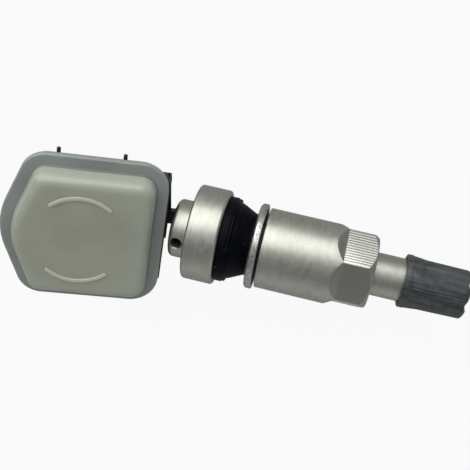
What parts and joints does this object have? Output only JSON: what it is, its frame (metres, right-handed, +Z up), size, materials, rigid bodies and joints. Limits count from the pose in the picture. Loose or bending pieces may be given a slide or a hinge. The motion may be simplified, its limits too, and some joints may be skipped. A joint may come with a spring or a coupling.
{
  "type": "tyre pressure sensor",
  "caption": "Tyre pressure sensor on a clamp-in metal valve: a sealed sensor case screwed to the valve's foot, rubber grommet, washer, hexagon clamp nut and ribbed dust cap.",
  "frame": {"origin": "on the valve's axis, at the flange face that the grommet and the rim's inner side seat against", "axes": "+X along the valve, outward through the rim to the dust cap; +Z up, on the side of the case's cover; +Y across the case"},
  "size_m": [0.0825, 0.0286, 0.0246],
  "materials": {
    "stem_metal": "satin nickel-plated, turned",
    "nut_metal": "satin nickel-plated, flats milled",
    "washer_steel": "bright, grainy",
    "grommet_rubber": "moulded, slightly glossy",
    "cap_plastic": "satin slate grey",
    "seal_rubber": "smooth",
    "black_rubber": "smooth",
    "brass": "turned",
    "spring_steel": "drawn wire",
    "tray_plastic": "fine spark-eroded grain",
    "cover_plastic": "translucent grey-green, satin",
    "screw_steel": "zinc-plated",
    "board_laminate": "solder mask",
    "cell_steel": "nickel-plated",
    "tab_nickel": "rolled strip",
    "chip_plastic": "moulded",
    "ceramic": "sintered",
    "coil_wire": "enamelled wire",
    "aerial_copper": "bare wire"
  },
  "bodies": {
    "valve": {"valve_stem": "stem_metal", "grommet": "grommet_rubber", "core_body": "brass", "core_gasket": "seal_rubber", "core_spring": "spring_steel", "housing": "tray_plastic", "cover": "cover_plastic", "cover_seal": "black_rubber", "mounting_screw": "screw_steel", "circuit_board": "board_laminate", "battery": "cell_steel", "battery_tab_upper": "tab_nickel", "battery_tab_lower": "tab_nickel", "pressure_sensor": "chip_plastic", "port_seal": "black_rubber", "radio_chip": "chip_plastic", "crystal": "tab_nickel", "capacitors": "ceramic", "lf_coil": "coil_wire", "antenna": "aerial_copper"},
    "washer_ring": {"washer": "washer_steel"},
    "clamp_nut": {"nut": "nut_metal"},
    "cap_disc": {"cap_seal": "seal_rubber"},
    "dust_cap": {"cap": "cap_plastic"},
    "pin": {"core_pin": "brass", "core_cup": "brass", "cup_seal": "black_rubber"}
  },
  "joints": [
    {"name": "nut_slide", "type": "slide", "parent": "valve", "child": "washer_ring", "axis": [1, 0, 0], "range_m": [0, 0.0048]},
    {"name": "nut_turn", "type": "hinge", "parent": "washer_ring", "child": "clamp_nut", "pos_m": [0.0175, 0, 0], "axis": [1, 0, 0], "range_deg": [0, 2305]},
    {"name": "cap_slide", "type": "slide", "parent": "valve", "child": "cap_disc", "axis": [1, 0, 0], "range_m": [0, 0.01397]},
    {"name": "cap_turn", "type": "hinge", "parent": "cap_disc", "child": "dust_cap", "pos_m": [0.039, 0, 0], "axis": [1, 0, 0], "range_deg": [0, 6337]},
    {"name": "pin_press", "type": "slide", "parent": "valve", "child": "pin", "axis": [-1, 0, 0], "range_m": [0, 0.001], "stiffness_N_per_m": 900, "deforming": ["core_spring"]}
  ],
  "couplings": [
    {"joint": "nut_turn", "follows": "nut_slide", "rad_per_m": 8377.6},
    {"joint": "cap_turn", "follows": "cap_slide", "rad_per_m": 7915.8}
  ]
}
